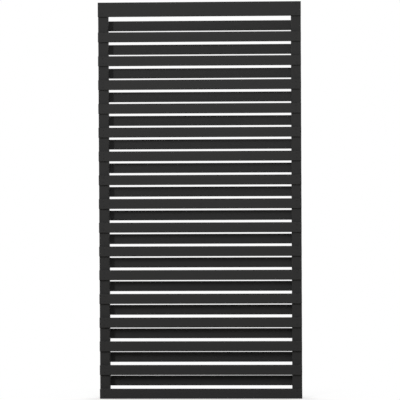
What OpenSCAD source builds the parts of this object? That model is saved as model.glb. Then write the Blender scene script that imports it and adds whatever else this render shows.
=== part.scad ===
// Slatted fence panel. Boards lie level on the front and on the back of two square uprights, half a
// pitch apart, so that each rear slat stands behind the space between two front slats.
// Millimetres. X runs along the boards, Y from front to back, Z up. The origin is on the ground,
// midway between the uprights and halfway through their depth.

/* [Panel] */
// Overall width, which is also the length of every board
panel_w = 920; // [500:10:1200]
// Number of slats on the back, and of slats on the front below the top board
slat_count = 16; // [6:1:20]

/* [Slats] */
// Height of a slat
slat_h = 45; // [30:1:70]
// Thickness of the slats and of the top board
slat_t = 16; // [12:1:22]
// Clear height between a front slat and the rear slat next to it
slat_gap = 9; // [3:1:20]
// Radius of the eased edges along the boards
board_edge_r = 2; // [1:0.5:3]

/* [Top board] */
// Height of the top board
top_board_h = 65; // [45:1:120]
// Clear height between the highest rear slat and the top board
top_gap = 16; // [5:1:30]

/* [Uprights] */
// Width of an upright, along the boards
upright_w = 45; // [35:1:70]
// Depth of an upright, from the front boards to the rear slats
upright_d = 45; // [40:1:70]
// Radius of the eased edges along the uprights
upright_edge_r = 3; // [1:0.5:5]

/* [Nails] */
// Length of a nail
nail_l = 40; // [32:1:45]
// Diameter of a nail's shank
nail_d = 2.5; // [2:0.1:3.5]
// Diameter of a nail's head
nail_head_d = 5; // [4:0.1:7]
// Height of a nail's head
nail_head_h = 1.5; // [1:0.1:2.5]
// Length of a nail's point
nail_point_l = 3; // [2:0.5:5]
// Depth of the nail heads below the face of the board
nail_set = 0.5; // [0.1:0.1:1]
// Distance of a nail from the upper or lower edge of its board
nail_edge = 12; // [8:1:14]
// Play all round a nail in its hole
nail_play = 0.05; // [0.02:0.01:0.1]

/* [Hidden] */
$fn = 48;
front = -1;
rear = 1;
left = -1;
right = 1;
paint_colour = [0.2, 0.2, 0.205];
nail_colour = [0.14, 0.14, 0.145];

pitch = 2 * (slat_h + slat_gap);
top_board_z = slat_count * pitch - slat_gap + top_gap;
panel_h = top_board_z + top_board_h;
upright_x = (panel_w - upright_w) / 2;

// Height above the ground and own height of each board, from the bottom up
front_slats = [for (i = [1 : slat_count]) [slat_z(front, i), slat_h]];
rear_slats = [for (i = [1 : slat_count]) [slat_z(rear, i), slat_h]];
front_boards = concat(front_slats, [[top_board_z, top_board_h]]);

function two_digits(i) = str(i < 10 ? "0" : "", i);
function front_name(i) = str("front_slat_", two_digits(i));
function rear_name(i) = str("rear_slat_", two_digits(i));
// Slats are numbered from the bottom, and a rear slat is half a pitch above its front slat
function slat_z(face, i) = (i - 1) * pitch + (face == rear ? pitch / 2 : 0);

// A rectangle with rounded corners, centred
module eased_rectangle(w, h, r) {
    square([w, h - 2 * r], center = true);
    square([w - 2 * r, h], center = true);
    for (x = [-1, 1], y = [-1, 1])
        translate([x * (w / 2 - r), y * (h / 2 - r)])
            circle(r = r);
}

// A nail along +Z, with the top of its head at z = 0
module nail() {
    rotate_extrude()
        polygon([
            [0, 0], [nail_head_d / 2, 0], [nail_head_d / 2, nail_head_h],
            [nail_d / 2, nail_head_h], [nail_d / 2, nail_l - nail_point_l], [0, nail_l]
        ]);
}

// The hole that a nail sits in, open above its head, with the head seated on a step
module nail_hole() {
    translate([0, 0, -2 * nail_set])
        cylinder(d = nail_head_d + 2 * nail_play, h = 2 * nail_set + nail_head_h);
    cylinder(d = nail_d + 2 * nail_play, h = nail_l + nail_play);
}

// Puts its child at both nails of each of the given boards, pointing into the upright
module at_nails(boards, face, side) {
    for (b = boards, height = [nail_edge, b[1] - nail_edge])
        translate([side * upright_x, face * (upright_d / 2 + slat_t - nail_set), b[0] + height])
            rotate([face * 90, 0, 0])
                children();
}

module upright(side) {
    color(paint_colour)
        difference() {
            translate([side * upright_x, 0, 0])
                linear_extrude(panel_h)
                    eased_rectangle(upright_w, upright_d, upright_edge_r);
            at_nails(front_boards, front, side) nail_hole();
            at_nails(rear_slats, rear, side) nail_hole();
        }
}

// A board across both uprights, on their front or rear faces
module board(z, h, face) {
    color(paint_colour)
        difference() {
            translate([-panel_w / 2, face * (upright_d + slat_t) / 2, z + h / 2])
                rotate([90, 0, 90])
                    linear_extrude(panel_w)
                        eased_rectangle(slat_t, h, board_edge_r);
            for (side = [left, right])
                at_nails([[z, h]], face, side) nail_hole();
        }
}

module top_board() {
    board(top_board_z, top_board_h, front);
}

module front_slat(i) {
    board(slat_z(front, i), slat_h, front);
}

module rear_slat(i) {
    board(slat_z(rear, i), slat_h, rear);
}

module front_nails(side) {
    color(nail_colour)
        at_nails(front_boards, front, side) nail();
}

module rear_nails(side) {
    color(nail_colour)
        at_nails(rear_slats, rear, side) nail();
}

upright(left);  // upright_left
upright(right);  // upright_right
top_board();
for (i = [1 : slat_count]) {
    front_slat(i);
    rear_slat(i);
}
front_nails(left);  // front_nails_left
front_nails(right);  // front_nails_right
rear_nails(left);  // rear_nails_left
rear_nails(right);  // rear_nails_right
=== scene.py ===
"""A slatted fence panel of planed softwood in matt black paint, and the plain studio round it."""

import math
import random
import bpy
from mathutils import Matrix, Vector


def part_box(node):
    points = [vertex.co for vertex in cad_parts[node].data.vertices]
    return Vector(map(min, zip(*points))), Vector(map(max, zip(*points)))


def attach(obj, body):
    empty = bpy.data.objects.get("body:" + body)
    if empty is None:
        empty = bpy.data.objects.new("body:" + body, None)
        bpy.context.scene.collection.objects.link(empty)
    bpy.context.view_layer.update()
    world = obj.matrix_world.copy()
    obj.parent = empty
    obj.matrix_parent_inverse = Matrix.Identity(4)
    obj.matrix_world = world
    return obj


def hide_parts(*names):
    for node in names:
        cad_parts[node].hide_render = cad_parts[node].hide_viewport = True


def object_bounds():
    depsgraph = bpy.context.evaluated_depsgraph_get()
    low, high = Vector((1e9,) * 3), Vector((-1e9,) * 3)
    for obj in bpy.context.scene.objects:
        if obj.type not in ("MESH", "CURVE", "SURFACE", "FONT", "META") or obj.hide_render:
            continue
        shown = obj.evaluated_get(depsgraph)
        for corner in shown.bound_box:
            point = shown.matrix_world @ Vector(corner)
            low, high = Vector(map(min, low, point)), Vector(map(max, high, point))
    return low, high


bl_info = {
    "name": "Slatted Fence Panel",
    "version": (1, 0, 0),
    "blender": (4, 5, 0),
    "location": "3D View > Sidebar > Fence Panel",
    "description": "Models the painted boards, uprights and nails of a slatted fence panel",
    "category": "Object",
}

import bmesh
import bpy
from mathutils import Quaternion, Vector

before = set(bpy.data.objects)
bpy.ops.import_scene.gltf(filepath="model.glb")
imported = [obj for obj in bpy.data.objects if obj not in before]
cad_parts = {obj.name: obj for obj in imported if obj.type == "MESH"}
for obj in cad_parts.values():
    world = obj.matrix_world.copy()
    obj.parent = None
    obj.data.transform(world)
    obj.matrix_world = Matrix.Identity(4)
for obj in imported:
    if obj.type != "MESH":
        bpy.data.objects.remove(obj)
CAD_LOW, CAD_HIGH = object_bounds()

# The panel's faces by their direction along Y, its sides, and the axes that timber can run along
FRONT, REAR = -1, 1
FACE_NAMES = {FRONT: "front", REAR: "rear"}
LEFT, RIGHT = "left", "right"
ALONG_X, ALONG_Z = 0, 2

# Places that the frame gives
NAILS_LOW, NAILS_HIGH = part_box("front_nails_left")
BOARD_LOW, BOARD_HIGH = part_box("front_slat_01")
NAIL_HEAD_RADIUS = (NAILS_HIGH.x - NAILS_LOW.x) / 2
NAIL_LENGTH = NAILS_HIGH.y - NAILS_LOW.y
NAIL_SET = NAILS_LOW.y - BOARD_LOW.y
NAIL_EDGE = NAILS_LOW.z + NAIL_HEAD_RADIUS - BOARD_LOW.z
BOARD_THICKNESS = BOARD_HIGH.y - BOARD_LOW.y

# How finely round shapes are cut, the sharpest turn that is shaded as smooth, and how strongly large
# faces stay flat in the shading, where 100 is the most
ROUND_STEPS = 5
EASE_STEPS = 3
NAIL_SIDES = 20
SMOOTH_ANGLE = math.radians(50)
FLAT_FACE_WEIGHT = 100

# The rings of a domed nail head, as parts of its radius and of the dome's height, and the tips of a
# nail and of its pilot hole, as parts of the shank's radius
CROWN_WIDTH = 0.35
BROW_WIDTH, BROW_HEIGHT = 0.65, 0.75
NAIL_TIP, PILOT_TIP = 0.15, 0.2

# Play round a nail, how far a cutting shape stands out of the face that it cuts, and how near to
# each other two places count as the same
NAIL_PLAY = 0.00005
CUTTER_OVERSHOOT = 0.0003
SAME_PLACE = 0.00001

# How far from a bar's middle the pith of its log lies, and how far along the log it may come from
PITH_DISTANCES = (0.03, 0.075)
LOG_REACH = 20

# The order of the random draws is fixed, so that every run gives the same timber
TIMBER_SEED = 17
timber_luck = random.Random(TIMBER_SEED)

# Pure white, and the value that a noise texture wavers about
WHITE = (1, 1, 1, 1)
NOISE_MIDDLE = 0.5


class FencePanelTimber(bpy.types.PropertyGroup):
    """Shape of the boards and uprights beyond what the frame gives"""

    board_edge: bpy.props.FloatProperty(
        name="Board Edge Radius",
        description="Radius of the rounded edges along the boards",
        default=0.002,
        min=0.0005,
        max=0.004,
        precision=4,
        subtype="DISTANCE",
        unit="LENGTH",
    )
    board_end: bpy.props.FloatProperty(
        name="Board End Ease",
        description="Width that is sanded off round the sawn ends of a board",
        default=0.0008,
        min=0.0002,
        max=0.0015,
        precision=4,
        subtype="DISTANCE",
        unit="LENGTH",
    )
    upright_edge: bpy.props.FloatProperty(
        name="Upright Edge Radius",
        description="Radius of the rounded edges along the uprights",
        default=0.003,
        min=0.0005,
        max=0.006,
        precision=4,
        subtype="DISTANCE",
        unit="LENGTH",
    )
    upright_end: bpy.props.FloatProperty(
        name="Upright End Ease",
        description="Width that is sanded off round the sawn ends of an upright",
        default=0.0012,
        min=0.0002,
        max=0.0025,
        precision=4,
        subtype="DISTANCE",
        unit="LENGTH",
    )


class FencePanelNails(bpy.types.PropertyGroup):
    """Shape of the nails and of the dishes that they are driven into"""

    head_height: bpy.props.FloatProperty(
        name="Head Height",
        description="Height of a nail's head from its seat to its rim",
        default=0.0015,
        min=0.001,
        max=0.0025,
        precision=4,
        subtype="DISTANCE",
        unit="LENGTH",
    )
    head_dome: bpy.props.FloatProperty(
        name="Head Dome",
        description="Height that the middle of a nail's head stands above its rim",
        default=0.0002,
        min=0.00005,
        max=0.0004,
        precision=5,
        subtype="DISTANCE",
        unit="LENGTH",
    )
    shank_radius: bpy.props.FloatProperty(
        name="Shank Radius",
        description="Radius of a nail's shank",
        default=0.00125,
        min=0.001,
        max=0.00175,
        precision=5,
        subtype="DISTANCE",
        unit="LENGTH",
    )
    point_length: bpy.props.FloatProperty(
        name="Point Length",
        description="Length of a nail's point",
        default=0.003,
        min=0.002,
        max=0.005,
        precision=4,
        subtype="DISTANCE",
        unit="LENGTH",
    )
    dish_radius: bpy.props.FloatProperty(
        name="Dish Radius",
        description="Radius of the dish that driving a nail leaves in the wood round its head",
        default=0.0037,
        min=0.0028,
        max=0.005,
        precision=4,
        subtype="DISTANCE",
        unit="LENGTH",
    )
    dish_depth: bpy.props.FloatProperty(
        name="Dish Depth",
        description="Depth of that dish at the rim of the nail's hole",
        default=0.0003,
        min=0.0001,
        max=0.0005,
        precision=5,
        subtype="DISTANCE",
        unit="LENGTH",
    )


class FencePanelPaint(bpy.types.PropertyGroup):
    """Colour and surface of the paint"""

    board_colour: bpy.props.FloatVectorProperty(
        name="Board Paint",
        description="Colour of the paint on the boards",
        default=(0.027, 0.027, 0.0272),
        min=0,
        max=1,
        size=3,
        subtype="COLOR",
    )
    upright_colour: bpy.props.FloatVectorProperty(
        name="Upright Paint",
        description="Colour of the paint on the uprights",
        default=(0.026, 0.026, 0.0262),
        min=0,
        max=1,
        size=3,
        subtype="COLOR",
    )
    nail_colour: bpy.props.FloatVectorProperty(
        name="Nail Paint",
        description="Colour of the paint over the nails",
        default=(0.022, 0.022, 0.0225),
        min=0,
        max=1,
        size=3,
        subtype="COLOR",
    )
    worn_colour: bpy.props.FloatVectorProperty(
        name="Thin Paint",
        description="Colour of the paint where it is rubbed thin along the edges",
        default=(0.055, 0.052, 0.048),
        min=0,
        max=1,
        size=3,
        subtype="COLOR",
    )
    dust_colour: bpy.props.FloatVectorProperty(
        name="Dust",
        description="Colour of the dust that lies on the upper edges",
        default=(0.16, 0.15, 0.135),
        min=0,
        max=1,
        size=3,
        subtype="COLOR",
    )
    roughness: bpy.props.FloatProperty(
        name="Roughness",
        description="Roughness of the paint between the grain lines",
        default=0.62,
        min=0,
        max=1,
        subtype="FACTOR",
    )
    specular: bpy.props.FloatProperty(
        name="Specular",
        description="How much the paint mirrors, where 0.5 is glossy paint's full amount",
        default=0.12,
        min=0,
        max=1,
        subtype="FACTOR",
    )
    grain_relief: bpy.props.FloatProperty(
        name="Grain Relief",
        description="Height of the grain that shows through the paint",
        default=0.00018,
        min=0,
        max=0.001,
        precision=5,
        subtype="DISTANCE",
        unit="LENGTH",
    )
    ring_spacing: bpy.props.FloatProperty(
        name="Ring Spacing",
        description="Distance between the growth rings of the timber",
        default=0.0034,
        min=0.001,
        max=0.01,
        precision=4,
        subtype="DISTANCE",
        unit="LENGTH",
    )
    wear: bpy.props.FloatProperty(
        name="Edge Wear",
        description="How much of the edges has thin paint",
        default=0.3,
        min=0,
        max=1,
        subtype="FACTOR",
    )
    dust: bpy.props.FloatProperty(
        name="Dust Amount",
        description="How much dust lies on the upper edges",
        default=0.25,
        min=0,
        max=1,
        subtype="FACTOR",
    )


class FencePanelStudio(bpy.types.PropertyGroup):
    """Camera, lamps and floor"""

    camera_place: bpy.props.FloatVectorProperty(
        name="Camera Place",
        description="Where the camera stands",
        default=(0.325, -9.184, 1.074),
        size=3,
        subtype="XYZ",
        unit="LENGTH",
    )
    camera_target: bpy.props.FloatVectorProperty(
        name="Camera Target",
        description="The point that the camera looks at, just above the middle of the panel's front",
        default=(0, CAD_LOW.y, 0.9031),
        size=3,
        subtype="XYZ",
        unit="LENGTH",
    )
    camera_roll: bpy.props.FloatProperty(
        name="Camera Roll",
        description="Turn of the camera about its line of sight",
        default=math.radians(-0.28),
        subtype="ANGLE",
        unit="ROTATION",
    )
    lens: bpy.props.FloatProperty(
        name="Lens",
        description="Focal length of the camera in millimetres",
        default=181.7,
        min=20,
        max=400,
    )
    key_place: bpy.props.FloatVectorProperty(
        name="Key Lamp Place",
        description="Where the main lamp, up on the left, stands",
        default=(-2.87, -5.0, 2.6),
        size=3,
        subtype="XYZ",
        unit="LENGTH",
    )
    key_size: bpy.props.FloatVectorProperty(
        name="Key Lamp Size",
        description="Width and height of the main lamp, which stands up on the left",
        default=(0.6, 1.2),
        min=0.1,
        max=5,
        size=2,
        unit="LENGTH",
    )
    key_power: bpy.props.FloatProperty(
        name="Key Lamp Power",
        description="Power of the main lamp, up on the left, in watts",
        default=131,
        min=0,
    )
    fill_place: bpy.props.FloatVectorProperty(
        name="Fill Lamp Place",
        description="Where the weaker lamp, close on the right, stands",
        default=(0.42, -2.65, 1.65),
        size=3,
        subtype="XYZ",
        unit="LENGTH",
    )
    fill_size: bpy.props.FloatVectorProperty(
        name="Fill Lamp Size",
        description="Width and height of the weaker lamp, which stands close on the right",
        default=(0.5, 1.8),
        min=0.1,
        max=5,
        size=2,
        unit="LENGTH",
    )
    fill_power: bpy.props.FloatProperty(
        name="Fill Lamp Power",
        description="Power of the weaker lamp, close on the right, in watts",
        default=23.9,
        min=0,
    )
    back_place: bpy.props.FloatVectorProperty(
        name="Back Lamp Place",
        description="Where the right one of the two lamps behind stands. The left one mirrors it",
        default=(3.4, 2.6, 4.0),
        size=3,
        subtype="XYZ",
        unit="LENGTH",
    )
    back_size: bpy.props.FloatVectorProperty(
        name="Back Lamp Size",
        description="Width and height of each lamp behind the panel",
        default=(1.5, 1.5),
        min=0.1,
        max=5,
        size=2,
        unit="LENGTH",
    )
    back_power: bpy.props.FloatProperty(
        name="Back Lamp Power",
        description="Power of each lamp behind the panel in watts",
        default=165,
        min=0,
    )
    ambient: bpy.props.FloatProperty(
        name="Ambient Light",
        description="Strength of the even light from all round",
        default=0.03,
        min=0,
        max=1,
    )
    floor_colour: bpy.props.FloatVectorProperty(
        name="Floor",
        description="Colour of the floor, as it throws light back on the panel",
        default=(0.42, 0.39, 0.33),
        min=0,
        max=1,
        size=3,
        subtype="COLOR",
    )
    shadow: bpy.props.FloatProperty(
        name="Shadow",
        description="How strongly the panel's shadow shows on the white floor",
        default=0.12,
        min=0,
        max=1,
        subtype="FACTOR",
    )
    contact_shadow: bpy.props.FloatProperty(
        name="Contact Shadow",
        description="How strongly the shadow shows close to the panel's foot",
        default=0.4,
        min=0,
        max=1,
        subtype="FACTOR",
    )


# Selecting and shaping


def select_only(*pieces):
    """Leaves just these objects selected, with the first one active."""
    bpy.ops.object.select_all(action="DESELECT")
    for piece in pieces:
        piece.select_set(True)
    bpy.context.view_layer.objects.active = pieces[0]


def fix_in_place(piece):
    """Puts the object's place, turn and scale into its mesh."""
    select_only(piece)
    bpy.ops.object.transform_apply(location=True, rotation=True, scale=True)


def name_active(name):
    """Names the active object and its mesh."""
    piece = bpy.context.active_object
    piece.name = name
    piece.data.name = name
    return piece


def take_new(name):
    """Names the object that was just added and puts its place into its mesh."""
    piece = name_active(name)
    fix_in_place(piece)
    return piece


def enter_edit(piece, kind, wanted):
    """Opens the piece in edit mode with just the wanted ones of its edges or faces selected."""
    select_only(piece)
    bpy.ops.object.mode_set(mode="EDIT")
    bpy.ops.mesh.select_mode(type=kind)
    bpy.ops.mesh.select_all(action="DESELECT")
    shape = bmesh.from_edit_mesh(piece.data)
    for element in shape.edges if kind == "EDGE" else shape.faces:
        element.select_set(wanted(element))
    bmesh.update_edit_mesh(piece.data)


def leave_edit():
    """Goes back to object mode."""
    bpy.ops.object.mode_set(mode="OBJECT")


def apply_modifiers(piece):
    """Puts what the piece's modifiers do into its mesh."""
    select_only(piece)
    for modifier in list(piece.modifiers):
        bpy.ops.object.modifier_apply(modifier=modifier.name)


def copy_of(source, name, shift):
    """A copy with its own mesh, moved by shift."""
    select_only(source)
    bpy.ops.object.duplicate(linked=False)
    copy = name_active(name)
    copy.location = shift
    fix_in_place(copy)
    return copy


def join_all(pieces, name):
    """Joins the pieces into the first one."""
    select_only(*pieces)
    bpy.ops.object.join()
    return name_active(name)


# Timber


def model_bar(name, low, high, along, edge_radius, end_ease):
    """A planed bar of timber: rounded along its length and eased round its sawn ends."""
    bpy.ops.mesh.primitive_cube_add(size=1, location=(low + high) / 2, scale=high - low)
    bar = take_new(name)

    def runs_along(edge):
        way = edge.verts[1].co - edge.verts[0].co
        return abs(way[along]) > way.length / 2

    def is_at_an_end(edge):
        return any(
            all(abs(vert.co[along] - end[along]) < SAME_PLACE for vert in edge.verts)
            for end in (low, high)
        )

    for wanted, width, steps in (
        (runs_along, edge_radius, ROUND_STEPS),
        (is_at_an_end, end_ease, EASE_STEPS),
    ):
        enter_edit(bar, "EDGE", wanted)
        bpy.ops.mesh.bevel(offset=width, segments=steps, affect="EDGES")
        leave_edit()
    return bar


def draw_round_piece(name, rings):
    """A round piece on the Y axis, drawn out ring by ring. A ring is (place along Y, radius)."""
    (start, start_radius), (second, second_radius) = rings[:2]
    bpy.ops.mesh.primitive_cone_add(
        vertices=NAIL_SIDES,
        radius1=start_radius,
        radius2=second_radius,
        depth=second - start,
        end_fill_type="NGON",
        location=(0, (start + second) / 2, 0),
        rotation=(-math.pi / 2, 0, 0),
    )
    piece = take_new(name)
    enter_edit(piece, "FACE", lambda face: face.calc_center_median().y > second - SAME_PLACE)
    for (before, before_radius), (here, radius) in zip(rings[1:], rings[2:]):
        bpy.ops.mesh.extrude_region_move(TRANSFORM_OT_translate={"value": (0, here - before, 0)})
        if radius != before_radius:
            ratio = radius / before_radius
            bpy.ops.transform.resize(value=(ratio, 1, ratio), center_override=(0, here, 0))
    leave_edit()
    return piece


def model_nail(nails):
    """A nail along +Y with the rim of its head at y = 0 and a slightly domed top."""
    rim_round = nails.head_dome
    shoulder = nails.head_height
    point = NAIL_LENGTH - nails.point_length
    return draw_round_piece("nail", [
        (-nails.head_dome, NAIL_HEAD_RADIUS * CROWN_WIDTH),
        (-nails.head_dome * BROW_HEIGHT, NAIL_HEAD_RADIUS * BROW_WIDTH),
        (0, NAIL_HEAD_RADIUS - rim_round),
        (rim_round, NAIL_HEAD_RADIUS),
        (shoulder, NAIL_HEAD_RADIUS),
        (shoulder, nails.shank_radius),
        (point, nails.shank_radius),
        (NAIL_LENGTH, nails.shank_radius * NAIL_TIP),
    ])


def model_hole_cutter(nails):
    """What a driven nail takes out of a board whose face is at y = 0."""
    head_hole = NAIL_HEAD_RADIUS + NAIL_PLAY
    shank_hole = nails.shank_radius + NAIL_PLAY
    flare = (nails.dish_radius - head_hole) / nails.dish_depth
    seat = NAIL_SET + nails.head_height
    return draw_round_piece("hole_cutter", [
        (-CUTTER_OVERSHOOT, nails.dish_radius + flare * CUTTER_OVERSHOOT),
        (nails.dish_depth, head_hole),
        (seat, head_hole),
        (seat, shank_hole),
        (BOARD_THICKNESS + CUTTER_OVERSHOOT, shank_hole),
    ])


def model_pilot_cutter(nails):
    """What a driven nail takes out of an upright whose face is at y = 0."""
    radius = nails.shank_radius + NAIL_PLAY
    depth = NAIL_LENGTH + NAIL_SET - BOARD_THICKNESS
    return draw_round_piece("pilot_cutter", [
        (-CUTTER_OVERSHOOT, radius),
        (depth - nails.point_length, radius),
        (depth + NAIL_PLAY, radius * PILOT_TIP),
    ])


def upright_centre(side):
    """Middle of an upright across the panel."""
    low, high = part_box(f"upright_{side}")
    return (low.x + high.x) / 2


def slats_on(face):
    """Names of the slats on one face of the panel, from the bottom up."""
    return sorted(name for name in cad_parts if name.startswith(f"{FACE_NAMES[face]}_slat_"))


def boards_on(face):
    """Names of all the boards on one face of the panel, from the bottom up."""
    return slats_on(face) + (["top_board"] if face == FRONT else [])


def reach_of(node, face):
    """How far a node reaches towards one face of the panel, as a place along Y."""
    low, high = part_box(node)
    return low.y if face == FRONT else high.y


def nail_heights(node):
    """Heights of the two nails at each end of a board."""
    low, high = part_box(node)
    return [low.z + NAIL_EDGE, high.z - NAIL_EDGE]


def nail_spots(nodes, sides):
    """Where the nails of these boards are on these sides, as (x, z)."""
    return [
        (upright_centre(side), height)
        for side in sides
        for node in nodes
        for height in nail_heights(node)
    ]


def put_at_nails(source, face, depth, spots, name):
    """Copies a piece to each (x, z) spot, pointing inwards from y = depth, and joins the copies."""
    if face == REAR:
        source.rotation_euler = (0, 0, math.pi)
        fix_in_place(source)
    copies = [copy_of(source, f"{name}_{i}", (x, depth, z)) for i, (x, z) in enumerate(spots)]
    bpy.data.objects.remove(source)
    return join_all(copies, name)


def split_down_middle(bar, middle):
    """Adds edges down the middle of an upright's faces, so that cutting holes leaves no slivers."""
    enter_edit(bar, "FACE", lambda face: True)
    bpy.ops.mesh.bisect(plane_co=middle, plane_no=(1, 0, 0))
    leave_edit()


def cut_from(bar, cutter):
    """Cuts one shape out of a bar and throws the cutting shape away."""
    cut = bar.modifiers.new("Nail holes", "BOOLEAN")
    cut.operation = "DIFFERENCE"
    cut.solver = "EXACT"
    cut.object = cutter
    apply_modifiers(bar)
    bpy.data.objects.remove(cutter)


def smooth_timber(bar):
    """Shades the rounded edges smooth and keeps the planed faces flat."""
    select_only(bar)
    bpy.ops.object.shade_smooth_by_angle(angle=SMOOTH_ANGLE)
    weighted = bar.modifiers.new("Flat faces", "WEIGHTED_NORMAL")
    weighted.weight = FLAT_FACE_WEIGHT
    weighted.keep_sharp = True
    apply_modifiers(bar)


def nearness_to_edge(place, low, high, along, edge_radius, end_ease):
    """1 along the middle of a rounded edge, and 0 from where its rounding meets a flat face."""
    arc_middle = math.sqrt(0.5)
    depths = [min(place[axis] - low[axis], high[axis] - place[axis]) for axis in range(3)]
    nearness = 0
    for first, second in ((0, 1), (0, 2), (1, 2)):
        radius = end_ease if along in (first, second) else edge_radius
        rounding = radius - max(depths[first], depths[second])
        nearness = max(nearness, rounding / (radius * arc_middle))
    return min(1, nearness)


def mark_timber(bar, along, edge_radius, end_ease):
    """Gives a bar its place in a log, its own tone and its worn edges, for the paint to read."""
    lowest_corner, highest_corner = 0, 6
    low, high = Vector(bar.bound_box[lowest_corner]), Vector(bar.bound_box[highest_corner])
    pith_angle = timber_luck.uniform(0, 2 * math.pi)
    pith_distance = timber_luck.uniform(*PITH_DISTANCES)
    pith = (low + high) / 2
    across = [axis for axis in range(3) if axis != along]
    pith[across[0]] += pith_distance * math.cos(pith_angle)
    pith[across[1]] += pith_distance * math.sin(pith_angle)
    pith[along] += timber_luck.uniform(-LOG_REACH, LOG_REACH)
    tone = timber_luck.uniform(0, 1)

    mesh = bar.data
    pith_of = mesh.attributes.new("pith", "FLOAT_VECTOR", "POINT")
    tone_of = mesh.attributes.new("tone", "FLOAT", "POINT")
    edge_of = mesh.attributes.new("edge", "FLOAT", "POINT")
    for vert in mesh.vertices:
        pith_of.data[vert.index].vector = pith
        tone_of.data[vert.index].value = tone
        edge_of.data[vert.index].value = nearness_to_edge(
            vert.co, low, high, along, edge_radius, end_ease
        )


def finish_piece(piece, node, paint):
    """Paints a piece and sets it in the frame in place of its node."""
    piece.data.materials.clear()
    piece.data.materials.append(paint)
    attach(piece, "root")
    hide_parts(node)


def model_board(node, face, scene):
    """A board with its nail holes, in the place of its node."""
    low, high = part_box(node)
    timber = scene.fence_timber
    board = model_bar(f"painted_{node}", low, high, ALONG_X, timber.board_edge, timber.board_end)
    cutter = model_hole_cutter(scene.fence_nails)
    spots = nail_spots([node], (LEFT, RIGHT))
    cut_from(board, put_at_nails(cutter, face, reach_of(node, face), spots, "nail_cutters"))
    smooth_timber(board)
    return board


def finish_board(board, node, scene):
    """Marks and paints a board and sets it in the frame in place of its node."""
    timber = scene.fence_timber
    mark_timber(board, ALONG_X, timber.board_edge, timber.board_end)
    finish_piece(board, node, board_paint(scene))


def make_slats(face, scene):
    """Models the lowest slat on one face and copies it to the places of the others."""
    names = slats_on(face)
    first = model_board(names[0], face, scene)
    first_low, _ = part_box(names[0])
    slats = [first] + [
        copy_of(first, f"painted_{name}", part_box(name)[0] - first_low) for name in names[1:]
    ]
    for name, slat in zip(names, slats):
        finish_board(slat, name, scene)


def make_upright(side, scene):
    """Models one upright with the holes that its nails fill."""
    node = f"upright_{side}"
    low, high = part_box(node)
    timber = scene.fence_timber
    edge, end = timber.upright_edge, timber.upright_end
    upright = model_bar(f"painted_{node}", low, high, ALONG_Z, edge, end)
    split_down_middle(upright, (low + high) / 2)
    for face in (FRONT, REAR):
        cutter = model_pilot_cutter(scene.fence_nails)
        spots = nail_spots(boards_on(face), [side])
        cut_from(upright, put_at_nails(cutter, face, reach_of(node, face), spots, "pilot_cutters"))
    smooth_timber(upright)
    mark_timber(upright, ALONG_Z, edge, end)
    finish_piece(upright, node, upright_paint(scene))


def make_nails(face, side, scene):
    """Models a nail and drives copies of it through the boards of one face into one upright."""
    node = f"{FACE_NAMES[face]}_nails_{side}"
    rim = reach_of(node, face) - face * scene.fence_nails.head_dome
    nail = model_nail(scene.fence_nails)
    spots = nail_spots(boards_on(face), [side])
    nails = put_at_nails(nail, face, rim, spots, f"painted_{node}")
    select_only(nails)
    bpy.ops.object.shade_smooth_by_angle(angle=SMOOTH_ANGLE)
    finish_piece(nails, node, nail_paint(scene))


# Paint


def add_node(tree, kind, inputs=None, **settings):
    """Adds a shader node with the given properties and feeds its inputs, by number or by name.

    An input that is given a socket is linked to it, and any other is set to the value.
    """
    node = tree.nodes.new(kind)
    for name, value in settings.items():
        setattr(node, name, value)
    for key, value in (inputs or {}).items():
        if isinstance(value, bpy.types.NodeSocket):
            tree.links.new(value, node.inputs[key])
        else:
            node.inputs[key].default_value = value
    return node


def maths(tree, operation, *values):
    """A Math node's output."""
    return add_node(tree, "ShaderNodeMath", dict(enumerate(values)), operation=operation).outputs[0]


def vector_maths(tree, operation, *values):
    """A Vector Math node's vector output."""
    node = add_node(tree, "ShaderNodeVectorMath", dict(enumerate(values)), operation=operation)
    return node.outputs["Vector"]


def noise(tree, place, scale, detail):
    """A Noise Texture. Its first output is a value, and its second a colour."""
    return add_node(tree, "ShaderNodeTexNoise", {"Vector": place, "Scale": scale, "Detail": detail})


def stretched_noise(tree, place, scales, detail):
    """A Noise Texture with its own scale along each axis."""
    return noise(tree, vector_maths(tree, "MULTIPLY", place, scales), 1.0, detail)


def ramp(tree, value, low, high, out_low=0.0, out_high=1.0):
    """A value moved smoothly from one range to another."""
    inputs = dict(enumerate((value, low, high, out_low, out_high)))
    node = add_node(tree, "ShaderNodeMapRange", inputs, interpolation_type="SMOOTHSTEP", clamp=True)
    return node.outputs[0]


def mix_values(tree, amount, first, second):
    """One value faded into another. The Mix node has sockets of its own for values."""
    first_value, second_value, mixed_value = 2, 3, 0
    inputs = {0: amount, first_value: first, second_value: second}
    return add_node(tree, "ShaderNodeMix", inputs, data_type="FLOAT").outputs[mixed_value]


def mix_colours(tree, amount, first, second):
    """One colour faded into another. The Mix node has sockets of its own for colours."""
    first_colour, second_colour, mixed_colour = 6, 7, 2
    inputs = {0: amount, first_colour: first, second_colour: second}
    return add_node(tree, "ShaderNodeMix", inputs, data_type="RGBA").outputs[mixed_colour]


def mix_shaders(tree, amount, first, second):
    """One shader node faded into another."""
    inputs = {0: amount, 1: first.outputs[0], 2: second.outputs[0]}
    return add_node(tree, "ShaderNodeMixShader", inputs)


def weighted_sum(tree, *pairs):
    """A sum of (value, weight) pairs."""
    total = maths(tree, "MULTIPLY", *pairs[0])
    for value, weight in pairs[1:]:
        total = maths(tree, "MULTIPLY_ADD", value, weight, total)
    return total


def part_of(tree, vector, axis):
    """One part of a vector, by the axis letter."""
    return add_node(tree, "ShaderNodeSeparateXYZ", {0: vector}).outputs[axis]


def vector_from(tree, *parts):
    """A vector put together from up to three parts."""
    return add_node(tree, "ShaderNodeCombineXYZ", dict(enumerate(parts))).outputs[0]


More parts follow.
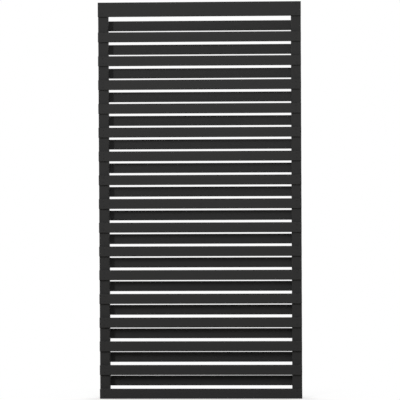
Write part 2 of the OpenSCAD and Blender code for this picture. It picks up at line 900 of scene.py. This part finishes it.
def toned(colour, factor=1.0):
    """A colour made lighter or darker, with full alpha."""
    return (*(part * factor for part in colour), 1.0)


def cleared_tree(owner):
    """The node tree of a material or world, with nothing in it."""
    owner.use_nodes = True
    owner.node_tree.nodes.clear()
    return owner.node_tree


def new_group(name, inputs, outputs):
    """A shader node group with named sockets. Returns it with its input and output nodes."""
    group = bpy.data.node_groups.new(name, "ShaderNodeTree")
    for in_out, sockets in (("INPUT", inputs), ("OUTPUT", outputs)):
        for socket_name, kind, default in sockets:
            socket_type = f"NodeSocket{kind}"
            socket = group.interface.new_socket(socket_name, in_out=in_out, socket_type=socket_type)
            if default is not None:
                socket.default_value = default
    return group, group.nodes.new("NodeGroupInput"), group.nodes.new("NodeGroupOutput")


def place_group(tree, group, inputs):
    """Puts a node group in a material and feeds its inputs."""
    return add_node(tree, "ShaderNodeGroup", inputs, node_tree=group)


def grain_group():
    """Growth rings, fibres and knots of a log that lies along X with its pith on the X axis."""
    name = "Timber Grain"
    if name in bpy.data.node_groups:
        return bpy.data.node_groups[name]
    group, start, end = new_group(
        name,
        [("Place", "Vector", None), ("Ring Spacing", "Float", 0.0034), ("Waviness", "Float", 0.006)],
        [("Rings", "Float", None), ("Fibres", "Float", None), ("Knots", "Float", None)],
    )
    place = start.outputs["Place"]

    # Knots run straight through a board, and the rings round them are pushed aside
    knots_to_a_metre = 6.0
    solid_knot, knot_rim, swirl_rim = 0.004, 0.008, 0.03
    through = vector_from(group, part_of(group, place, "X"), part_of(group, place, "Z"))
    cell_inputs = {"Vector": through, "Scale": knots_to_a_metre}
    cells = add_node(
        group, "ShaderNodeTexVoronoi", cell_inputs, voronoi_dimensions="2D", feature="F1"
    )
    knot_distance = maths(group, "DIVIDE", cells.outputs["Distance"], knots_to_a_metre)
    knots = ramp(group, knot_distance, solid_knot, knot_rim, 1.0, 0.0)
    swirl = ramp(group, knot_distance, 0.0, swirl_rim, 1.0, 0.0)

    # Rings wander along the log and swell round the knots
    wander_scales, wander_detail = (1.5, 7.0, 7.0), 2.0
    swelling = 0.008
    wander = stretched_noise(group, place, wander_scales, wander_detail)
    sway = vector_maths(group, "SUBTRACT", wander.outputs["Color"], (NOISE_MIDDLE,) * 3)
    sway_inputs = {0: sway, "Scale": start.outputs["Waviness"]}
    waviness = add_node(group, "ShaderNodeVectorMath", sway_inputs, operation="SCALE")
    moved = vector_maths(group, "ADD", place, waviness.outputs["Vector"])
    squares = [maths(group, "POWER", part_of(group, moved, axis), 2.0) for axis in ("Y", "Z")]
    radius = maths(group, "SQRT", maths(group, "ADD", *squares))
    radius = maths(group, "MULTIPLY_ADD", swirl, swelling, radius)
    ring = maths(group, "FRACT", maths(group, "DIVIDE", radius, start.outputs["Ring Spacing"]))

    # The dense wood of each ring builds up slowly and ends sharply
    rise_start, rise_end, fall_start = 0.35, 0.85, 0.92
    rise = ramp(group, ring, rise_start, rise_end)
    fall = ramp(group, ring, fall_start, 1.0, 1.0, 0.0)
    group.links.new(maths(group, "MULTIPLY", rise, fall), end.inputs["Rings"])

    fibre_scales, fibre_detail = (14.0, 650.0, 650.0), 3.0
    fibres = stretched_noise(group, place, fibre_scales, fibre_detail)
    group.links.new(fibres.outputs[0], end.inputs["Fibres"])
    group.links.new(knots, end.inputs["Knots"])
    return group


def sawn_end_group():
    """Saw marks and open pores on the ends of a log that lies along X."""
    name = "Sawn Ends"
    if name in bpy.data.node_groups:
        return bpy.data.node_groups[name]
    group, start, end = new_group(
        name,
        [("Place", "Vector", None), ("Normal", "Vector", None)],
        [("End", "Float", None), ("Marks", "Float", None)],
    )
    place = start.outputs["Place"]

    # How squarely a face has to lie across the log before it counts as an end
    slanting, square = 0.6, 0.9
    squareness = maths(group, "ABSOLUTE", part_of(group, start.outputs["Normal"], "X"))
    group.links.new(ramp(group, squareness, slanting, square), end.inputs["End"])

    saw_scales, saw_share = (1.0, 45.0, 900.0), 0.65
    pore_scale, pore_share = 1900.0, 0.35
    detail = 2.0
    saw = stretched_noise(group, place, saw_scales, detail)
    pores = noise(group, place, pore_scale, detail)
    marks = weighted_sum(group, (saw.outputs[0], saw_share), (pores.outputs[0], pore_share))
    group.links.new(marks, end.inputs["Marks"])
    return group


def wear_group():
    """Patches of thin paint along the edges."""
    name = "Edge Wear"
    if name in bpy.data.node_groups:
        return bpy.data.node_groups[name]
    group, start, end = new_group(
        name,
        [("Place", "Vector", None), ("Edge", "Float", 0.0), ("Amount", "Float", 0.3)],
        [("Wear", "Float", None)],
    )
    patch_scales, patch_detail = (9.0, 60.0, 60.0), 4.0
    edge_share, fade = 0.25, 0.25
    patches = stretched_noise(group, start.outputs["Place"], patch_scales, patch_detail).outputs[0]
    threshold = maths(group, "SUBTRACT", 1.0, start.outputs["Amount"])
    strength = maths(group, "MULTIPLY_ADD", start.outputs["Edge"], edge_share, patches)
    wear = ramp(group, strength, threshold, maths(group, "ADD", threshold, fade))
    group.links.new(maths(group, "MULTIPLY", wear, start.outputs["Edge"]), end.inputs["Wear"])
    return group


def dust_group():
    """Dust on what faces up."""
    name = "Settled Dust"
    if name in bpy.data.node_groups:
        return bpy.data.node_groups[name]
    group, start, end = new_group(
        name,
        [("Place", "Vector", None), ("Normal", "Vector", None), ("Amount", "Float", 0.25)],
        [("Dust", "Float", None)],
    )
    place = start.outputs["Place"]

    # Dust stays on faces that are flat enough, in drifts that are made of grains
    steep, flat = 0.5, 0.98
    drift_scale, drift_detail, drift_start, drift_full = 35.0, 5.0, 0.3, 0.75
    grain_scale, grain_detail, grain_start, grain_full = 900.0, 2.0, 0.25, 0.7
    upwards = ramp(group, part_of(group, start.outputs["Normal"], "Z"), steep, flat)
    drifts = noise(group, place, drift_scale, drift_detail).outputs[0]
    grains = noise(group, place, grain_scale, grain_detail).outputs[0]
    lying = maths(
        group,
        "MULTIPLY",
        ramp(group, drifts, drift_start, drift_full),
        ramp(group, grains, grain_start, grain_full),
    )
    settled = maths(group, "MULTIPLY", upwards, lying)
    group.links.new(maths(group, "MULTIPLY", settled, start.outputs["Amount"]), end.inputs["Dust"])
    return group


def attribute(tree, name, output):
    """A value that mark_timber wrote on the mesh."""
    node = add_node(tree, "ShaderNodeAttribute", attribute_type="GEOMETRY", attribute_name=name)
    return node.outputs[output]


def turned_along_x(tree, vector, along):
    """The vector as it would be on a bar that lies along X."""
    if along == ALONG_X:
        return vector
    x, y, z = (part_of(tree, vector, axis) for axis in "XYZ")
    return vector_from(tree, z, y, x)


def new_paint(name):
    """A material with only a Principled BSDF and its output."""
    paint = bpy.data.materials.new(name)
    tree = cleared_tree(paint)
    shader = add_node(tree, "ShaderNodeBsdfPrincipled")
    add_node(tree, "ShaderNodeOutputMaterial", {"Surface": shader.outputs[0]})
    return paint, tree, shader


def raise_relief(tree, shader, height, distance):
    """Raises the surface by a height that runs from 0 to 1, where 1 is the distance."""
    bump = add_node(tree, "ShaderNodeBump", {"Height": height, "Distance": distance})
    tree.links.new(bump.outputs[0], shader.inputs["Normal"])


def timber_shade(tree, colour, grain, ends):
    """The paint's colour, a little lighter or darker by bar, growth ring, knot and sawn end."""
    darkest_bar, palest_bar = 0.96, 1.04
    ring_tone, ring_shows = 1.16, 0.5
    knot_tone, knot_shows = 0.8, 0.5
    end_tone, end_shows = 0.8, 0.6
    tone = attribute(tree, "tone", "Fac")
    shade = mix_colours(tree, tone, toned(colour, darkest_bar), toned(colour, palest_bar))
    for where, lightness, shows in (
        (grain.outputs["Rings"], ring_tone, ring_shows),
        (grain.outputs["Knots"], knot_tone, knot_shows),
        (ends.outputs["End"], end_tone, end_shows),
    ):
        amount = maths(tree, "MULTIPLY", where, shows)
        shade = mix_colours(tree, amount, shade, toned(colour, lightness))
    return shade


def timber_roughness(tree, roughness, grain, ends, dust):
    """The paint's roughness, changed a little by the fibres, rings, sawn ends and dust."""
    fibre_change, ring_change, end_change, dust_change = 0.16, -0.05, 0.15, 0.3
    changes = weighted_sum(
        tree,
        (maths(tree, "SUBTRACT", grain.outputs["Fibres"], NOISE_MIDDLE), fibre_change),
        (grain.outputs["Rings"], ring_change),
        (ends.outputs["End"], end_change),
        (dust, dust_change),
    )
    return maths(tree, "ADD", changes, roughness)


def timber_height(tree, grain, ends):
    """The grain's height on the planed faces, and that of the saw marks on the sawn ends."""
    ring_height, fibre_height, knot_height = 0.55, 0.3, 0.5
    mark_height, end_ring_height = 1.6, 0.4
    rings, fibres, knots = (grain.outputs[key] for key in ("Rings", "Fibres", "Knots"))
    planed = weighted_sum(tree, (rings, ring_height), (fibres, fibre_height), (knots, knot_height))
    sawn = weighted_sum(tree, (ends.outputs["Marks"], mark_height), (rings, end_ring_height))
    return mix_values(tree, ends.outputs["End"], planed, sawn)


def timber_paint(name, colour, along, settings):
    """Matt paint on planed softwood whose grain runs along one axis."""
    if name in bpy.data.materials:
        return bpy.data.materials[name]
    paint, tree, shader = new_paint(name)
    coordinates = add_node(tree, "ShaderNodeTexCoord")
    here, normal = coordinates.outputs["Object"], coordinates.outputs["Normal"]
    from_pith = vector_maths(tree, "SUBTRACT", here, attribute(tree, "pith", "Vector"))
    place = turned_along_x(tree, from_pith, along)
    facing = turned_along_x(tree, normal, along)
    edge = attribute(tree, "edge", "Fac")

    grain = place_group(tree, grain_group(), {"Place": place, "Ring Spacing": settings.ring_spacing})
    ends = place_group(tree, sawn_end_group(), {"Place": place, "Normal": facing})
    wear_inputs = {"Place": place, "Edge": edge, "Amount": settings.wear}
    wear = place_group(tree, wear_group(), wear_inputs).outputs[0]
    dust_inputs = {"Place": here, "Normal": normal, "Amount": settings.dust}
    dust = place_group(tree, dust_group(), dust_inputs).outputs[0]

    shade = timber_shade(tree, colour, grain, ends)
    shade = mix_colours(tree, wear, shade, toned(settings.worn_colour))
    shade = mix_colours(tree, dust, shade, toned(settings.dust_colour))
    tree.links.new(shade, shader.inputs["Base Color"])
    roughness = timber_roughness(tree, settings.roughness, grain, ends, dust)
    tree.links.new(roughness, shader.inputs["Roughness"])
    shader.inputs["Specular IOR Level"].default_value = settings.specular
    raise_relief(tree, shader, timber_height(tree, grain, ends), settings.grain_relief)
    return paint


def board_paint(scene):
    """The paint on the boards."""
    settings = scene.fence_paint
    return timber_paint("black_board_paint", settings.board_colour, ALONG_X, settings)


def upright_paint(scene):
    """The paint on the uprights."""
    settings = scene.fence_paint
    return timber_paint("black_upright_paint", settings.upright_colour, ALONG_Z, settings)


def nail_paint(scene):
    """The paint that floods the nail heads, a little smoother than on the wood."""
    name = "black_nail_paint"
    if name in bpy.data.materials:
        return bpy.data.materials[name]
    patch_scale, patch_low, patch_high = 130.0, 0.2, 0.8
    darkest, palest = 0.85, 1.2
    smoothest, roughest = 0.42, 0.6
    dimple_scale, dimple_height = 1400.0, 0.00005
    detail = 2.0
    settings = scene.fence_paint
    paint, tree, shader = new_paint(name)
    here = add_node(tree, "ShaderNodeTexCoord").outputs["Object"]
    patches = noise(tree, here, patch_scale, detail).outputs[0]
    dimples = noise(tree, here, dimple_scale, detail).outputs[0]
    dark, pale = toned(settings.nail_colour, darkest), toned(settings.nail_colour, palest)
    tree.links.new(mix_colours(tree, patches, dark, pale), shader.inputs["Base Color"])
    roughness = ramp(tree, patches, patch_low, patch_high, smoothest, roughest)
    tree.links.new(roughness, shader.inputs["Roughness"])
    shader.inputs["Specular IOR Level"].default_value = settings.specular
    raise_relief(tree, shader, dimples, dimple_height)
    return paint


# Studio


def seen_directly(tree):
    """1 for what is seen straight, mirrored or through glass, and 0 for what only throws light."""
    path = add_node(tree, "ShaderNodeLightPath")
    seen = maths(tree, "ADD", path.outputs["Is Camera Ray"], path.outputs["Is Glossy Ray"])
    seen = maths(tree, "ADD", seen, path.outputs["Is Transmission Ray"])
    return maths(tree, "MINIMUM", seen, 1.0)


def make_world(studio):
    """White to the eye, and an even pale light on the panel."""
    world = bpy.data.worlds.new("studio_light")
    tree = cleared_tree(world)
    strength = ramp(tree, seen_directly(tree), 0.0, 1.0, studio.ambient, 1.0)
    background = add_node(tree, "ShaderNodeBackground", {"Color": WHITE, "Strength": strength})
    add_node(tree, "ShaderNodeOutputWorld", {"Surface": background.outputs[0]})
    bpy.context.scene.world = world


def distance_from_foot(tree):
    """How far a point of the floor is from the panel's foot."""
    here = add_node(tree, "ShaderNodeTexCoord").outputs["Object"]
    outside = vector_maths(tree, "SUBTRACT", vector_maths(tree, "ABSOLUTE", here), CAD_HIGH)
    outside = vector_maths(tree, "MAXIMUM", outside, (0, 0, 0))
    return add_node(tree, "ShaderNodeVectorMath", {0: outside}, operation="LENGTH").outputs["Value"]


def make_floor(studio):
    """A wide pale floor that looks white and keeps a trace of the shadow round the panel's foot."""
    floor_width = 60
    gap_under_panel = 0.0002
    shadow_reach = 0.5
    contact_reach = 0.12
    bpy.ops.mesh.primitive_plane_add(size=floor_width, location=(0, 0, CAD_LOW.z - gap_under_panel))
    floor = take_new("floor")
    material = bpy.data.materials.new("floor_white")
    tree = cleared_tree(material)

    # What is seen is pure white, faded near the foot into a white that takes the shadow
    distance = distance_from_foot(tree)
    wide_shadow = ramp(tree, distance, 0.0, shadow_reach, studio.shadow, 0.0)
    close_shadow = ramp(tree, distance, 0.0, contact_reach, studio.contact_shadow, 0.0)
    shade = maths(tree, "MAXIMUM", wide_shadow, close_shadow)
    white = add_node(tree, "ShaderNodeEmission")
    shaded_white = add_node(tree, "ShaderNodeBsdfDiffuse", {"Color": WHITE})
    shown = mix_shaders(tree, shade, white, shaded_white)

    # What throws light back on the panel is plain and matt
    matt = add_node(tree, "ShaderNodeBsdfDiffuse", {"Color": toned(studio.floor_colour)})
    surface = mix_shaders(tree, seen_directly(tree), matt, shown)
    add_node(tree, "ShaderNodeOutputMaterial", {"Surface": surface.outputs[0]})
    floor.data.materials.append(material)


def aim(thing, target):
    """Turns a lamp or camera to face a point."""
    thing.rotation_mode = "QUATERNION"
    thing.rotation_quaternion = (target - thing.location).to_track_quat("-Z", "Y")


def add_lamp(name, place, size, power):
    """A soft lamp, aimed at the middle of the panel."""
    bpy.ops.object.light_add(type="AREA", location=place)
    lamp = bpy.context.active_object
    lamp.name = name
    lamp.data.shape = "RECTANGLE"
    lamp.data.size, lamp.data.size_y = size
    lamp.data.energy = power
    lamp.visible_camera = False
    aim(lamp, (CAD_LOW + CAD_HIGH) / 2)


def add_camera(studio):
    """The camera, far off and a little to the right, as in a shop picture."""
    bpy.ops.object.camera_add(location=studio.camera_place)
    camera = bpy.context.active_object
    camera.name = "camera"
    camera.data.lens = studio.lens
    aim(camera, Vector(studio.camera_target))
    camera.rotation_quaternion @= Quaternion((0, 0, 1), studio.camera_roll)
    bpy.context.scene.camera = camera


class FENCE_OT_studio(bpy.types.Operator):
    """Set up the camera, the lamps, the floor and the white background"""

    bl_idname = "fence.studio"
    bl_label = "Studio"

    def execute(self, context):
        studio = context.scene.fence_studio
        add_camera(studio)
        make_world(studio)
        make_floor(studio)
        add_lamp("key_lamp", studio.key_place, studio.key_size, studio.key_power)
        add_lamp("fill_lamp", studio.fill_place, studio.fill_size, studio.fill_power)
        x, y, z = studio.back_place
        for side, side_x in ((LEFT, -x), (RIGHT, x)):
            add_lamp(f"back_lamp_{side}", (side_x, y, z), studio.back_size, studio.back_power)
        context.scene.view_settings.view_transform = "Standard"
        return {"FINISHED"}


class FENCE_OT_uprights(bpy.types.Operator):
    """Model the two uprights that the boards are nailed to"""

    bl_idname = "fence.uprights"
    bl_label = "Uprights"

    def execute(self, context):
        for side in (LEFT, RIGHT):
            make_upright(side, context.scene)
        return {"FINISHED"}


class FENCE_OT_top_board(bpy.types.Operator):
    """Model the taller board across the top of the front"""

    bl_idname = "fence.top_board"
    bl_label = "Top Board"

    def execute(self, context):
        board = model_board("top_board", FRONT, context.scene)
        finish_board(board, "top_board", context.scene)
        return {"FINISHED"}


class FENCE_OT_front_slats(bpy.types.Operator):
    """Model the slats on the front"""

    bl_idname = "fence.front_slats"
    bl_label = "Front Slats"

    def execute(self, context):
        make_slats(FRONT, context.scene)
        return {"FINISHED"}


class FENCE_OT_rear_slats(bpy.types.Operator):
    """Model the slats on the back"""

    bl_idname = "fence.rear_slats"
    bl_label = "Rear Slats"

    def execute(self, context):
        make_slats(REAR, context.scene)
        return {"FINISHED"}


class FENCE_OT_nails(bpy.types.Operator):
    """Model the nails and drive them through the boards into the uprights"""

    bl_idname = "fence.nails"
    bl_label = "Nails"

    def execute(self, context):
        for face in (FRONT, REAR):
            for side in (LEFT, RIGHT):
                make_nails(face, side, context.scene)
        return {"FINISHED"}


class FENCE_PT_panel(bpy.types.Panel):
    """Sizes, colours and steps of the fence panel"""

    bl_idname = "FENCE_PT_panel"
    bl_label = "Fence Panel"
    bl_space_type = "VIEW_3D"
    bl_region_type = "UI"
    bl_category = "Fence Panel"

    def draw(self, context):
        for group_name, group in PROPERTY_GROUPS.items():
            box = self.layout.box()
            for name in group.__annotations__:
                box.prop(getattr(context.scene, group_name), name)
        for operator in OPERATORS:
            self.layout.operator(operator.bl_idname)


PROPERTY_GROUPS = {
    "fence_timber": FencePanelTimber,
    "fence_nails": FencePanelNails,
    "fence_paint": FencePanelPaint,
    "fence_studio": FencePanelStudio,
}
OPERATORS = (
    FENCE_OT_studio,
    FENCE_OT_uprights,
    FENCE_OT_top_board,
    FENCE_OT_front_slats,
    FENCE_OT_rear_slats,
    FENCE_OT_nails,
)


def register():
    """Registers the classes and puts the settings on the scene."""
    for cls in (*PROPERTY_GROUPS.values(), *OPERATORS, FENCE_PT_panel):
        bpy.utils.register_class(cls)
    for name, group in PROPERTY_GROUPS.items():
        setattr(bpy.types.Scene, name, bpy.props.PointerProperty(type=group))


def unregister():
    """Takes the settings and the classes away again."""
    for name in PROPERTY_GROUPS:
        delattr(bpy.types.Scene, name)
    for cls in reversed((*PROPERTY_GROUPS.values(), *OPERATORS, FENCE_PT_panel)):
        bpy.utils.unregister_class(cls)


def main():
    """Builds the whole scene."""
    register()
    bpy.ops.fence.studio()
    bpy.ops.fence.uprights()
    bpy.ops.fence.top_board()
    bpy.ops.fence.front_slats()
    bpy.ops.fence.rear_slats()
    bpy.ops.fence.nails()


if __name__ == "__main__":
    main()
